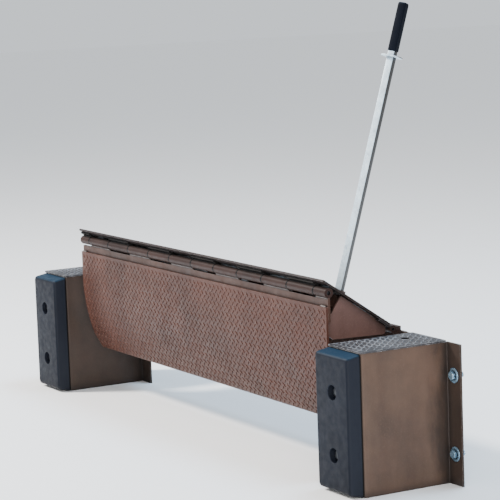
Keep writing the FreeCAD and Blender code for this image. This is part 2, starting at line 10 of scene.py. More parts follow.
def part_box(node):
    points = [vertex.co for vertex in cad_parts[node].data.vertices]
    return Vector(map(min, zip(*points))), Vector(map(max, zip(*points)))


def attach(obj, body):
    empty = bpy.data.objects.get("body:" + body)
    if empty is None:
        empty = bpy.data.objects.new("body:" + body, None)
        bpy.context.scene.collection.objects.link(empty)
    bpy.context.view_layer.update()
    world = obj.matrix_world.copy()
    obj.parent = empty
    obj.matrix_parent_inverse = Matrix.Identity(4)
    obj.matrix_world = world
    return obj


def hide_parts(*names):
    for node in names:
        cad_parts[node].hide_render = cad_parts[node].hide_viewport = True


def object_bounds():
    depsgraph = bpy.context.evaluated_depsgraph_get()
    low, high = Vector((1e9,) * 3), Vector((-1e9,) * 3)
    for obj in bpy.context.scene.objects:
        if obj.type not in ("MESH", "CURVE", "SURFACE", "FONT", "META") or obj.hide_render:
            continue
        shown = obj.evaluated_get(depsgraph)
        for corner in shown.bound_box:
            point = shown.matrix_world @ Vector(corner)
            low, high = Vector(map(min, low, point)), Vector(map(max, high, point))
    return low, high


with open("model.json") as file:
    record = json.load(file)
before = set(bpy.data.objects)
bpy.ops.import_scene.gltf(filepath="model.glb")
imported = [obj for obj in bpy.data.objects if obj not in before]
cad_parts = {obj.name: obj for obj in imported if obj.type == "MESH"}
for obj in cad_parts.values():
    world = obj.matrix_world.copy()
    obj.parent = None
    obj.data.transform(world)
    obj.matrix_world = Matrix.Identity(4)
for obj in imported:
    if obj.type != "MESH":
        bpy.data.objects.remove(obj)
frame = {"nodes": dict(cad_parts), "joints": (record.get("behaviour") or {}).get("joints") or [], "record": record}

CAD_BOX = [list(corner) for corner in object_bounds()]
MM = 0.001

# ---- places read from the frame, with the deck's slope and the handle's twist given ----
JOINTS = {joint["name"]: joint for joint in frame["joints"]}
REAR_HINGE = Vector(JOINTS["deck_hinge"]["pos_m"])
LIP_HINGE = Vector(JOINTS["lip_hinge"]["pos_m"])
LEVER_PIVOT = Vector(JOINTS["lever_pivot"]["pos_m"])
HANDLE_AXIS = Vector(JOINTS["handle_slide"]["axis"]).normalized()
DECK_SLOPE = math.radians(34.2)
HANDLE_TWIST = math.radians(27.0)
HANDLE_X = LEVER_PIVOT.x
ALONG_DECK = Vector((0.0, math.cos(DECK_SLOPE), -math.sin(DECK_SLOPE)))
DECK_NORMAL = Vector((0.0, math.sin(DECK_SLOPE), math.cos(DECK_SLOPE)))
X_AXIS = Vector((1.0, 0.0, 0.0))
Y_AXIS = Vector((0.0, 1.0, 0.0))
Z_AXIS = Vector((0.0, 0.0, 1.0))


# ---- camera, floor and light ----
CAMERA_PLACE = Vector((6.20906, -3.55987, 1.13951))
CAMERA_AZIMUTH = math.radians(60.46)
CAMERA_ELEVATION = math.radians(7.716)
CAMERA_ROLL = math.radians(-2.051)
CAMERA_LENS = 155.47
FLOOR_REACH = 30.0
LIGHT_TARGET = (0.2, -0.2, 0.1)


def add_camera():
    azimuth = CAMERA_AZIMUTH
    elevation = CAMERA_ELEVATION
    roll = CAMERA_ROLL
    back = Vector((math.sin(azimuth) * math.cos(elevation), -math.cos(azimuth) * math.cos(elevation),
                   math.sin(elevation)))
    level_right = Vector((math.cos(azimuth), math.sin(azimuth), 0.0))
    level_up = back.cross(level_right)
    right = math.cos(roll) * level_right + math.sin(roll) * level_up
    up = -math.sin(roll) * level_right + math.cos(roll) * level_up
    data = bpy.data.cameras.new("camera")
    data.sensor_width = 36.0
    data.lens = CAMERA_LENS
    camera = bpy.data.objects.new("camera", data)
    bpy.context.scene.collection.objects.link(camera)
    turn = Matrix((right, up, back)).transposed().to_4x4()
    camera.matrix_world = Matrix.Translation(CAMERA_PLACE) @ turn
    bpy.context.scene.camera = camera


def add_area_light(name, place, size, power, colour):
    data = bpy.data.lights.new(name, "AREA")
    data.shape = "DISK"
    data.size = size
    data.energy = power
    data.color = colour
    light = bpy.data.objects.new(name, data)
    bpy.context.scene.collection.objects.link(light)
    light.location = place
    aim = Vector(LIGHT_TARGET) - Vector(place)
    light.rotation_euler = aim.to_track_quat("-Z", "Y").to_euler()


def add_stage():
    floor_z = CAD_BOX[0][2]
    bm = bmesh.new()
    bm.faces.new([bm.verts.new((x * FLOOR_REACH, y * FLOOR_REACH, floor_z))
                  for x, y in ((-1, -1), (1, -1), (1, 1), (-1, 1))])
    mesh = bpy.data.meshes.new("floor")
    bm.to_mesh(mesh)
    bm.free()
    floor = bpy.data.objects.new("floor", mesh)
    bpy.context.scene.collection.objects.link(floor)
    material = bpy.data.materials.new("floor")
    material.use_nodes = True
    shader = material.node_tree.nodes["Principled BSDF"]
    shader.inputs["Base Color"].default_value = (0.96, 0.96, 0.96, 1.0)
    shader.inputs["Roughness"].default_value = 0.9
    mesh.materials.append(material)
    world = bpy.data.worlds.new("studio")
    bpy.context.scene.world = world
    world.use_nodes = True
    backdrop = world.node_tree.nodes["Background"]
    backdrop.inputs["Color"].default_value = (0.9, 0.95, 1.0, 1.0)
    backdrop.inputs["Strength"].default_value = 0.95
    add_area_light("key", (-3.6, -4.2, 5.0), 1.2, 980.0, (1.0, 0.95, 0.9))
    add_area_light("fill", (4.9, -2.6, 1.5), 2.0, 190.0, (1.0, 0.93, 0.87))
    add_area_light("top", (0.6, 1.2, 5.0), 2.0, 250.0, (0.5, 0.74, 1.0))


# ---- materials ----
class Surface:
    """A procedural material: a Principled shader with short calls to add nodes to it."""

    def __init__(self, name, roughness=0.5, metallic=0.0, specular=0.5):
        self.material = bpy.data.materials.new(name)
        self.material.use_nodes = True
        self.tree = self.material.node_tree
        self.shader = self.tree.nodes["Principled BSDF"]
        self.shader.inputs["Roughness"].default_value = roughness
        self.shader.inputs["Metallic"].default_value = metallic
        self.shader.inputs["Specular IOR Level"].default_value = specular
        self.place = self.node("ShaderNodeTexCoord").outputs["Object"]

    def node(self, kind, **settings):
        node = self.tree.nodes.new(kind)
        for key, value in settings.items():
            setattr(node, key, value)
        return node

    def link(self, source, target):
        self.tree.links.new(source, target)

    def axis(self, vector, name):
        """One component, X, Y or Z, of a vector."""
        parts = self.node("ShaderNodeSeparateXYZ")
        self.link(vector, parts.inputs["Vector"])
        return parts.outputs[name]

    def normal(self):
        return self.node("ShaderNodeNewGeometry").outputs["Normal"]

    def scaled(self, stretch):
        mapping = self.node("ShaderNodeMapping")
        mapping.inputs["Scale"].default_value = stretch
        self.link(self.place, mapping.inputs["Vector"])
        return mapping.outputs["Vector"]

    def noise(self, scale, detail=3.0, roughness=0.5, stretch=None):
        texture = self.node("ShaderNodeTexNoise")
        texture.inputs["Scale"].default_value = scale
        texture.inputs["Detail"].default_value = detail
        texture.inputs["Roughness"].default_value = roughness
        self.link(self.scaled(stretch) if stretch else self.place, texture.inputs["Vector"])
        return texture.outputs["Fac"]

    def cells(self, scale, output="Distance", feature="F1"):
        texture = self.node("ShaderNodeTexVoronoi", feature=feature)
        texture.inputs["Scale"].default_value = scale
        self.link(self.place, texture.inputs["Vector"])
        return texture.outputs[output]

    def ramp(self, value, low, high, bottom=0.0, top=1.0):
        node = self.node("ShaderNodeMapRange", clamp=True)
        for key, number in (("From Min", low), ("From Max", high), ("To Min", bottom), ("To Max", top)):
            node.inputs[key].default_value = number
        self.link(value, node.inputs["Value"])
        return node.outputs["Result"]

    def maths(self, operation, first, second):
        node = self.node("ShaderNodeMath", operation=operation)
        for socket, value in zip(node.inputs, (first, second)):
            if isinstance(value, (int, float)):
                socket.default_value = value
            else:
                self.link(value, socket)
        return node.outputs["Value"]

    def mix(self, amount, first, second):
        node = self.node("ShaderNodeMix", data_type="RGBA")
        self.link(amount, node.inputs["Factor"])
        for socket, value in zip((node.inputs[6], node.inputs[7]), (first, second)):
            if isinstance(value, tuple):
                socket.default_value = value + (1.0,)
            else:
                self.link(value, socket)
        return node.outputs[2]

    def edges(self, radius, low=0.02, high=0.2):
        """1 on convex and concave edges within radius of them, 0 on flats."""
        bevel = self.node("ShaderNodeBevel", samples=6)
        bevel.inputs["Radius"].default_value = radius
        geometry = self.node("ShaderNodeNewGeometry")
        dot = self.node("ShaderNodeVectorMath", operation="DOT_PRODUCT")
        self.link(bevel.outputs["Normal"], dot.inputs[0])
        self.link(geometry.outputs["Normal"], dot.inputs[1])
        return self.ramp(self.maths("SUBTRACT", 1.0, dot.outputs["Value"]), low, high)

    def crevices(self, distance, low=0.35, high=0.95):
        """1 deep in corners and narrow gaps, where shade falls, and 0 in the open: a mask for painted shade."""
        occlusion = self.node("ShaderNodeAmbientOcclusion", samples=8)
        occlusion.inputs["Distance"].default_value = distance
        return self.ramp(occlusion.outputs["AO"], low, high, 1.0, 0.0)

    def colour(self, source):
        self.link(source, self.shader.inputs["Base Color"])

    def rough(self, source):
        self.link(source, self.shader.inputs["Roughness"])

    def bump(self, *layers):
        """Raise the surface by layers of (height source, depth in metres)."""
        total = None
        for source, depth in layers:
            height = self.maths("MULTIPLY", source, depth)
            total = height if total is None else self.maths("ADD", total, height)
        node = self.node("ShaderNodeBump")
        node.inputs["Strength"].default_value = 1.0
        node.inputs["Distance"].default_value = 1.0
        self.link(total, node.inputs["Height"])
        self.link(node.outputs["Normal"], self.shader.inputs["Normal"])


# Colours of painted shade: a dark one for corners and shaded faces, a near-black one for the deepest shade.
SHADE_DARK = (0.012, 0.0115, 0.0115)
SHADE_BLACK = (0.0012, 0.0012, 0.0014)


def painted_steel(name, base, dark, light, worn, wear=0.5, bloom=0.35, reach=0.03,
                  specular=0.2, shade_mask=None, deepest_shade=None):
    """Satin paint on steel, with mottling, streaks, rubbed edges and painted shade within reach of its corners.

    The two mask arguments each give a mask of painted shade: the first in the dark shade colour under the rubbed
    edges, the second in near-black over them.
    """
    s = Surface(name, 0.42, 0.0, specular)
    mottle = s.ramp(s.noise(5.5, 5.0, 0.62), 0.36, 0.66)
    streak = s.ramp(s.noise(9.0, 4.0, 0.6, (1.0, 1.0, 0.16)), 0.42, 0.72)
    speckle = s.ramp(s.noise(240.0, 2.0, 0.6), 0.55, 0.75)
    colour = s.mix(mottle, dark, base)
    colour = s.mix(s.maths("MULTIPLY", streak, bloom), colour, light)
    colour = s.mix(s.maths("MULTIPLY", speckle, 0.35), colour, light)
    # Painted shade: corners and narrow gaps darkened towards the shade colour.
    colour = s.mix(s.maths("MULTIPLY", s.crevices(reach), 0.85), colour, SHADE_DARK)
    # Painted shade where the first mask says.
    if shade_mask:
        colour = s.mix(shade_mask(s), colour, SHADE_DARK)
    broken = s.ramp(s.noise(55.0, 4.0, 0.65), 0.42, 0.62)
    rubbed = s.maths("MULTIPLY", s.edges(0.0022), s.maths("MULTIPLY", broken, wear))
    colour = s.mix(rubbed, colour, worn)
    # Painted near-black shade where the second mask says.
    if deepest_shade:
        colour = s.mix(deepest_shade(s), colour, SHADE_BLACK)
    s.colour(colour)
    s.rough(s.ramp(s.noise(30.0, 4.0, 0.6), 0.3, 0.7, 0.34, 0.54))
    s.bump((s.noise(420.0, 2.0), 0.00012), (s.noise(38.0, 3.0), 0.0002))
    return s.material


def rubber(name, base, grey, worn, sky_sheen, specular=0.1, flank_light=None):
    """Moulded rubber with a dusty bloom, rubbed along the edges, with a painted blue sky reflection on top and,
    given a flank colour, painted light on its side faces and a painted shadow line at its back edge against the
    box.
    """
    s = Surface(name, 0.6, 0.0, specular)
    bloom = s.ramp(s.noise(7.0, 5.0, 0.6), 0.35, 0.7)
    colour = s.mix(bloom, base, grey)
    scuff = s.ramp(s.noise(60.0, 4.0, 0.7, (1.0, 1.0, 0.3)), 0.6, 0.78, 0.0, 0.25)
    colour = s.mix(scuff, colour, worn)
    # Painted light: the side faces, turned to the fill light, are painted lighter.
    if flank_light:
        facing_side = s.ramp(s.maths("ABSOLUTE", s.axis(s.normal(), "X"), 0.0), 0.5, 0.9, 0.0, 0.85)
        colour = s.mix(facing_side, colour, flank_light)
        # Painted shadow: a near-black line along the back edge, where the block meets the box.
        against_box = s.ramp(s.axis(s.place, "Y"), -0.3105, -0.308)
        colour = s.mix(against_box, colour, SHADE_BLACK)
    # Painted reflection: a blue sky sheen on the upward faces near the top.
    facing_up = s.ramp(s.axis(s.normal(), "Z"), 0.35, 0.9, 0.0, 0.8)
    high_up = s.ramp(s.axis(s.place, "Z"), -0.06, -0.04)
    colour = s.mix(s.maths("MULTIPLY", facing_up, high_up), colour, sky_sheen)
    s.colour(s.mix(s.maths("MULTIPLY", s.edges(0.004), 0.5), colour, worn))
    s.rough(s.ramp(s.noise(45.0, 3.0), 0.3, 0.7, 0.42, 0.62))
    s.bump((s.noise(700.0, 2.0), 0.00012), (s.noise(60.0, 4.0), 0.00025))
    return s.material


def bright_metal(name, base, dark, light, roughness=(0.25, 0.45), spangle=0.0, stretch=(1, 1, 1),
                 metallic=0.9, shade_colour=None, shaded_faces=None):
    """Zinc-coated or bare steel with clouding, fine scratches and, where galvanised, spangle.

    Where the last mask says so, the shade colour is painted on: painted shade on the faces turned away from the
    light.
    """
    s = Surface(name, 0.35, metallic)
    cloud = s.ramp(s.noise(26.0, 5.0, 0.65), 0.35, 0.68)
    colour = s.mix(cloud, dark, base)
    if spangle:
        facets = s.cells(150.0, "Color")
        colour = s.mix(s.ramp(facets, 0.2, 0.9, 0.0, spangle), colour, light)
    scratch = s.ramp(s.noise(300.0, 3.0, 0.6, stretch), 0.6, 0.75, 0.0, 0.6)
    colour = s.mix(scratch, colour, light)
    # Painted shade on the faces the mask marks.
    if shade_colour:
        colour = s.mix(shaded_faces(s), colour, shade_colour)
    # Painted shade: corners and narrow gaps darkened to near-black.
    s.colour(s.mix(s.maths("MULTIPLY", s.crevices(0.015), 0.8), colour, (0.02, 0.02, 0.024)))
    s.rough(s.ramp(s.noise(50.0, 4.0, 0.6), 0.3, 0.7, *roughness))
    s.bump((s.noise(300.0, 3.0, 0.6, stretch), 0.00006))
    return s.material


# ---- where each finish is painted with shade or darkened ----
BOX_MIDDLE_X = 997 * MM
BOX_INSIDE_HALF = 81.5 * MM
BOX_INSIDE_FRONT_Y = -298.8 * MM
BOX_OUTSIDE_HALF = 88.5 * MM
BOX_INNER_SIDE_X = 911 * MM
LIFTING_HOLE_X = 979 * MM
LIFTING_HOLE_Y = -82 * MM


def box_shade_and_fold(s):
    """Where a box shell is painted dark: painted shade on its flanges, in the box's own shadow, darker up the fold
    beside them, painted shade on its inner side by the lip, and a painted dark interior inside it.
    """
    across = s.maths("ABSOLUTE", s.axis(s.place, "X"), 0.0)
    depth = s.axis(s.place, "Y")
    from_middle = s.maths("ABSOLUTE", s.maths("SUBTRACT", across, BOX_MIDDLE_X), 0.0)
    in_width = s.maths("LESS_THAN", from_middle, BOX_INSIDE_HALF)
    inside = s.maths("MULTIPLY", in_width, s.maths("GREATER_THAN", depth, BOX_INSIDE_FRONT_Y))
    on_flange = s.maths("GREATER_THAN", from_middle, BOX_OUTSIDE_HALF)
    cloud = s.ramp(s.noise(16.0, 4.0, 0.6, (1.0, 1.0, 0.35)), 0.3, 0.7, -0.035, 0.035)
    fold = s.ramp(s.maths("ADD", depth, cloud), -0.075, -0.02, 0.0, 0.6)
    inner_side = s.maths("MULTIPLY", s.maths("LESS_THAN", across, BOX_INNER_SIDE_X), 0.55)
    dark = s.maths("MAXIMUM", s.maths("MULTIPLY", on_flange, 0.6), s.maths("MAXIMUM", fold, inner_side))
    return s.maths("MAXIMUM", s.maths("MULTIPLY", inside, 0.95), dark)


def shade_on_far_faces(s):
    """Painted shade on the galvanised tube's faces that look towards the dock, away from the key light."""
    towards_dock = s.maths("ADD", s.axis(s.normal(), "Y"), s.maths("MULTIPLY", s.axis(s.normal(), "X"), 0.5))
    return s.ramp(towards_dock, 0.2, 0.7)


KNUCKLE_PITCH = 2 * (838.2 - 68.2) / 10 * MM


def knuckle_ends(s):
    """1 at the ends of the hinge knuckles, painted near-black as the shade on their end faces."""
    turns = s.maths("DIVIDE", s.axis(s.place, "X"), KNUCKLE_PITCH)
    from_middle = s.maths("ABSOLUTE", s.maths("SUBTRACT", s.maths("FRACT", turns, 0.0), 0.5), 0.0)
    return s.ramp(from_middle, 0.5 - 5.0 * MM / KNUCKLE_PITCH, 0.5 - 3.0 * MM / KNUCKLE_PITCH)


def facing_up(s):
    """1 on faces that look up; on the lip's leaf these ledges under the knuckles are painted near-black as shade,
    widening the dark slots.
    """
    return s.ramp(s.axis(s.normal(), "Z"), 0.6, 0.9)


def hole_and_rim(s):
    """1 in and round the lifting hole of a box top, painted near-black as the shade inside the hole."""
    across = s.maths("SUBTRACT", s.maths("ABSOLUTE", s.axis(s.place, "X"), 0.0), LIFTING_HOLE_X)
    along = s.maths("SUBTRACT", s.axis(s.place, "Y"), LIFTING_HOLE_Y)
    square = s.maths("ADD", s.maths("MULTIPLY", across, across), s.maths("MULTIPLY", along, along))
    return s.ramp(s.maths("SQRT", square, 0.0), 13.4 * MM, 12.9 * MM)


MATERIALS = {
    "brown_paint": painted_steel("brown_paint", (0.05, 0.0225, 0.015), (0.03, 0.0145, 0.0105),
                                 (0.08, 0.042, 0.031), (0.24, 0.19, 0.17), 0.45),
    "box_paint": painted_steel("box_paint", (0.088, 0.052, 0.036), (0.054, 0.034, 0.025),
                               (0.12, 0.08, 0.058), (0.34, 0.31, 0.28), 0.5, shade_mask=box_shade_and_fold),
    "hinge_paint": painted_steel("hinge_paint", (0.027, 0.012, 0.0092), (0.015, 0.0072, 0.006),
                                 (0.042, 0.023, 0.019), (0.2, 0.19, 0.2), 0.35, reach=0.02, specular=0.14,
                                 deepest_shade=knuckle_ends),
    # Near-black paint standing in for shade: on the deck's front leaf and its welds it paints the dark slots by
    # the knuckles.
    "shade_black_paint": painted_steel("shade_black_paint", (0.007, 0.005, 0.0045), (0.004, 0.0035, 0.0035),
                                  (0.012, 0.009, 0.0085), (0.1, 0.095, 0.1), 0.3, reach=0.02, specular=0.08),
    "deck_paint": painted_steel("deck_paint", (0.02, 0.0125, 0.0112), (0.0115, 0.008, 0.0078),
                                (0.034, 0.025, 0.024), (0.24, 0.23, 0.25), 0.5, reach=0.02, specular=0.16),
    "skirt_paint": painted_steel("skirt_paint", (0.13, 0.072, 0.062), (0.085, 0.048, 0.042),
                                 (0.18, 0.112, 0.096), (0.28, 0.22, 0.2), 0.4),
    "leaf_paint": painted_steel("leaf_paint", (0.05, 0.0225, 0.015), (0.03, 0.0145, 0.0105),
                                (0.08, 0.042, 0.031), (0.24, 0.19, 0.17), 0.45, deepest_shade=facing_up),
    "tread_paint": painted_steel("tread_paint", (0.06, 0.0212, 0.014), (0.038, 0.015, 0.0105),
                                 (0.09, 0.041, 0.03), (0.24, 0.165, 0.14), 0.6, reach=0.006),
    "tread_bars": painted_steel("tread_bars", (0.074, 0.0275, 0.0185), (0.048, 0.0195, 0.0135),
                                (0.125, 0.06, 0.045), (0.3, 0.22, 0.185), 0.45, reach=0.006),
    "worn_tread": painted_steel("worn_tread", (0.034, 0.031, 0.033), (0.018, 0.018, 0.021),
                                (0.08, 0.08, 0.088), (0.55, 0.57, 0.6), 0.9, 0.6, reach=0.006,
                                deepest_shade=hole_and_rim),
    "worn_bars": painted_steel("worn_bars", (0.17, 0.174, 0.19), (0.065, 0.067, 0.075),
                               (0.32, 0.34, 0.37), (0.55, 0.57, 0.6), 0.8, 0.6, reach=0.006),
    "bumper_rubber": rubber("bumper_rubber", (0.0042, 0.0056, 0.0102), (0.007, 0.0092, 0.016),
                            (0.024, 0.033, 0.05), (0.007, 0.026, 0.049), flank_light=(0.0125, 0.015, 0.022)),
    "grip_vinyl": rubber("grip_vinyl", (0.001, 0.002, 0.005), (0.0025, 0.0045, 0.01), (0.012, 0.022, 0.045),
                         (0.008, 0.016, 0.03), 0.06),
    "zinc_plate": bright_metal("zinc_plate", (0.4, 0.6, 0.76), (0.14, 0.24, 0.33), (0.86, 0.96, 1.0),
                               (0.18, 0.36), metallic=0.7),
    "dull_zinc": bright_metal("dull_zinc", (0.03, 0.033, 0.04), (0.015, 0.017, 0.02), (0.08, 0.085, 0.1),
                              metallic=0.5),
    "pin_steel": bright_metal("pin_steel", (0.05, 0.047, 0.046), (0.025, 0.023, 0.023), (0.16, 0.155, 0.15)),
    "spring_steel": bright_metal("spring_steel", (0.1, 0.1, 0.11), (0.05, 0.05, 0.055), (0.3, 0.3, 0.32)),
    "galvanised": bright_metal("galvanised", (0.68, 0.84, 0.96), (0.42, 0.52, 0.6), (0.85, 0.96, 1.0),
                               (0.3, 0.45), 0.35, (1, 1, 0.05), 0.12, (0.014, 0.0125, 0.0115), shade_on_far_faces),
    "weld": bright_metal("weld", (0.12, 0.1, 0.095), (0.06, 0.05, 0.045), (0.26, 0.24, 0.235), (0.35, 0.5),
                         metallic=0.4),
}
# The deck's front leaf takes the near-black paint that stands in for the shade in the slots by the knuckles.
FINISH_OF_NODE = {
    "deck_plate": "deck_paint", "deck_front_leaf": "shade_black_paint", "deck_rear_leaf": "deck_paint",
    "right_deck_skirt": "skirt_paint", "left_deck_skirt": "skirt_paint", "lip_leaf": "leaf_paint",
    "right_box_shell": "box_paint", "left_box_shell": "box_paint",
    "lip_knuckles": "hinge_paint", "deck_front_knuckles": "hinge_paint", "deck_rear_knuckles": "hinge_paint",
    "frame_knuckles": "hinge_paint", "hinge_bar": "hinge_paint",
}


# ---- mesh helpers ----
def new_piece(name, vertices, faces, material, body, smooth=True):
    """A mesh piece in the row frame that rides on a body."""
    mesh = bpy.data.meshes.new(name)
    mesh.from_pydata([tuple(v) for v in vertices], [], faces)
    mesh.validate()
    bm = bmesh.new()
    bm.from_mesh(mesh)
    bmesh.ops.recalc_face_normals(bm, faces=bm.faces)
    bm.to_mesh(mesh)
    bm.free()
    for polygon in mesh.polygons:
        polygon.use_smooth = smooth
    mesh.materials.append(MATERIALS[material])
    piece = bpy.data.objects.new(name, mesh)
    bpy.context.scene.collection.objects.link(piece)
    if body:
        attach(piece, body)
    return piece


class Shape:
    """Vertices and faces gathered from several simple solids."""

    def __init__(self):
        self.vertices = []
        self.faces = []

    def rings(self, rings, closed_ends=True, looped=False):
        """Join rings of points, all with the same count, into a skin."""
        start = len(self.vertices)
        count = len(rings[0])
        for ring in rings:
            self.vertices.extend(ring)
        for i in range(len(rings) if looped else len(rings) - 1):
            here = start + i * count
            there = start + ((i + 1) % len(rings)) * count
            for j in range(count):
                k = (j + 1) % count
                self.faces.append((here + j, here + k, there + k, there + j))
        if closed_ends and not looped:
            self.faces.append(tuple(start + j for j in reversed(range(count))))
            last = start + (len(rings) - 1) * count
            self.faces.append(tuple(last + j for j in range(count)))

    def piece(self, name, material, body, smooth=True):
        return new_piece(name, self.vertices, self.faces, material, body, smooth)


def circle(centre, first, second, radius, count):
    points = []
    for i in range(count):
        angle = 2 * math.pi * i / count
        points.append(centre + radius * (math.cos(angle) * first + math.sin(angle) * second))
    return points


def rounded_square(centre, first, second, side, corner, steps=5):
    """Points round a square with rounded corners."""
    points = []
    reach = side / 2 - corner
    for quarter in range(4):
        sx = 1 if quarter in (0, 3) else -1
        sy = 1 if quarter in (0, 1) else -1
        for i in range(steps + 1):
            angle = math.pi / 2 * (quarter + i / steps)
            x = sx * reach + corner * math.cos(angle)
            y = sy * reach + corner * math.sin(angle)
            points.append(centre + x * first + y * second)
    return points


def add_bevel(piece, width, segments=2, angle=40.0):
    bevel = piece.modifiers.new("bevel", "BEVEL")
    bevel.width = width
    bevel.segments = segments
    bevel.limit_method = "ANGLE"
    bevel.angle_limit = math.radians(angle)
    bevel.harden_normals = False


# ---- tread and lifting slot ----
HANDLE_SLOT = (62 * MM, 197 * MM)
HANDLE_SLOT_HALF = 23 * MM
TREAD_HALF = 836 * MM
LIP_CORNER_HALF = 838 * MM
BAR_PITCH = 27 * MM
BAR_LENGTH = 20.5 * MM
BAR_WIDTH = 6.6 * MM
BAR_HEIGHT = 2.0 * MM
BAR_STATIONS = 7


def add_bar(shape, surface, u, v, lean, u_limits, v_limits):
    """One lens-shaped bar, centred at (u, v) on the surface and leaning one way or the other."""
    along = Vector((1.0, lean)).normalized()
    across = Vector((-along.y, along.x))
    rings = []
    for i in range(BAR_STATIONS):
        s = -1 + 2 * i / (BAR_STATIONS - 1)
        swell = max(0.04, 1 - s * s)
        ring = []
        for offset, rise in ((-1.0, -0.15), (-0.62, 0.78), (0.0, 1.0), (0.62, 0.78), (1.0, -0.15)):
            at = Vector((u, v)) + along * (s * BAR_LENGTH / 2) + across * (offset * swell * BAR_WIDTH / 2)
            at_u = min(max(at.x, u_limits[0]), u_limits[1])
            at_v = min(max(at.y, v_limits[0]), v_limits[1])
            point, normal = surface(at_u, at_v)
            ring.append(point + normal * (rise * BAR_HEIGHT * min(1.0, 1.6 * swell)))
        rings.append(ring)
    shape.rings(rings)


def tread_bars(name, surface, u_limits, v_limits, body, material, skip=None):
    """Bars leaning alternate ways on a square lattice, as rolled into floor plate."""
    shape = Shape()
    margin = 2 * MM
    half = BAR_PITCH / 2
    rows = int((v_limits[1] - v_limits[0]) / half)
    columns = int((u_limits[1] - u_limits[0]) / half)
    for row in range(rows + 1):
        for column in range(columns + 1):
            if (row + column) % 2:
                continue
            u = u_limits[0] + column * half
            v = v_limits[0] + row * half
            in_u = u_limits[0] + margin < u < u_limits[1] - margin
            in_v = v_limits[0] + margin < v < v_limits[1] - margin
            if not (in_u and in_v) or (skip and skip(u, v)):
                continue
            add_bar(shape, surface, u, v, 1.0 if row % 2 else -1.0, u_limits, v_limits)
    piece = shape.piece(name, material, body)
    return piece


SLOT_OF_MATERIAL = {name: name for name in MATERIALS}
SLOT_OF_MATERIAL.update({"weld": "brown_paint", "tread_bars": "tread_paint", "worn_bars": "worn_tread"})

LIP_FRONT_Y = LIP_HINGE.y - 12 * MM
LIP_TOP_Z = LIP_HINGE.z - 42 * MM
LIP_STRAIGHT = 89 * MM
LIP_CURVE_R = 653 * MM
LIP_CURVE_LENGTH = LIP_CURVE_R * math.radians(24.0)


def lip_surface(u, v):
    """The lip's front face: u along X, v down from its top edge."""
    if v <= LIP_STRAIGHT:
        return Vector((u, LIP_FRONT_Y, LIP_TOP_Z - v)), Vector((0, -1, 0))
    angle = (v - LIP_STRAIGHT) / LIP_CURVE_R
    outward = Vector((0, -math.cos(angle), -math.sin(angle)))
    centre = Vector((u, LIP_FRONT_Y + LIP_CURVE_R, LIP_TOP_Z - LIP_STRAIGHT))
    return centre + LIP_CURVE_R * outward, outward


DECK_TOP = 25.3 * MM


def deck_surface(u, v):
    """The deck's top face: u along X, v from the lip hinge towards the dock."""
    return Vector((u, LIP_HINGE.y, LIP_HINGE.z)) + ALONG_DECK * v + DECK_NORMAL * DECK_TOP, DECK_NORMAL


def in_handle_slot(u, v):
    """True where a bar would hang over the handle's slot."""
    clear = 12 * MM
    return abs(u - HANDLE_X) < HANDLE_SLOT_HALF + clear and HANDLE_SLOT[0] - clear < v < HANDLE_SLOT[1] + clear


def add_tread():
    inset = 3 * MM
    width = (-TREAD_HALF, TREAD_HALF)
    tread_bars("lip_tread", lip_surface, width, (inset, LIP_STRAIGHT + LIP_CURVE_LENGTH - inset),
               "lip", "tread_bars", past_lip_corner)
    tread_bars("deck_tread", deck_surface, width, (-33 * MM, 239 * MM), "deck", "tread_bars", in_handle_slot)
    for side, sign in (("right", 1), ("left", -1)):
        low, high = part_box(side + "_box_top")
        hole = Vector((sign * LIFTING_HOLE_X, LIFTING_HOLE_Y))

        def top_surface(u, v, z=high[2]):
            return Vector((u, v, z)), Z_AXIS

        def over_hole(u, v, hole=hole):
            return (Vector((u, v)) - hole).length < 22 * MM

        tread_bars(side + "_box_tread", top_surface, (low[0] + inset, high[0] - inset),
                   (low[1] + inset, high[1] - inset), "frame", "worn_bars", over_hole)


def past_lip_corner(u, v):
    """True over the two cut lower corners of the lip."""
    from_side = LIP_CORNER_HALF - abs(u)
    from_end = LIP_STRAIGHT + LIP_CURVE_LENGTH - v
    return from_side / (26 * MM) + from_end / (60 * MM) < 1.35


# ---- welds ----
def add_weld(shape, start, end, radius=3.0 * MM, pitch=3.2 * MM):
    """A rippled bead from start to end."""
    run = end - start
    along = run.normalized()
    side = along.orthogonal().normalized()
    other = along.cross(side)
    steps = max(4, int(run.length / (pitch / 4)))
    rings = []
    for i in range(steps + 1):
        t = i / steps
        ripple = 0.86 + 0.2 * abs(math.sin(math.pi * t * run.length / pitch))
        taper = min(1.0, 0.35 + 6 * min(t, 1 - t) * run.length / (8 * radius))
        wander = 0.12 * radius * math.sin(31 * t * run.length + start.x * 17)
        rings.append(circle(start + run * t + side * wander, side, other, radius * ripple * taper, 8))
    shape.rings(rings)


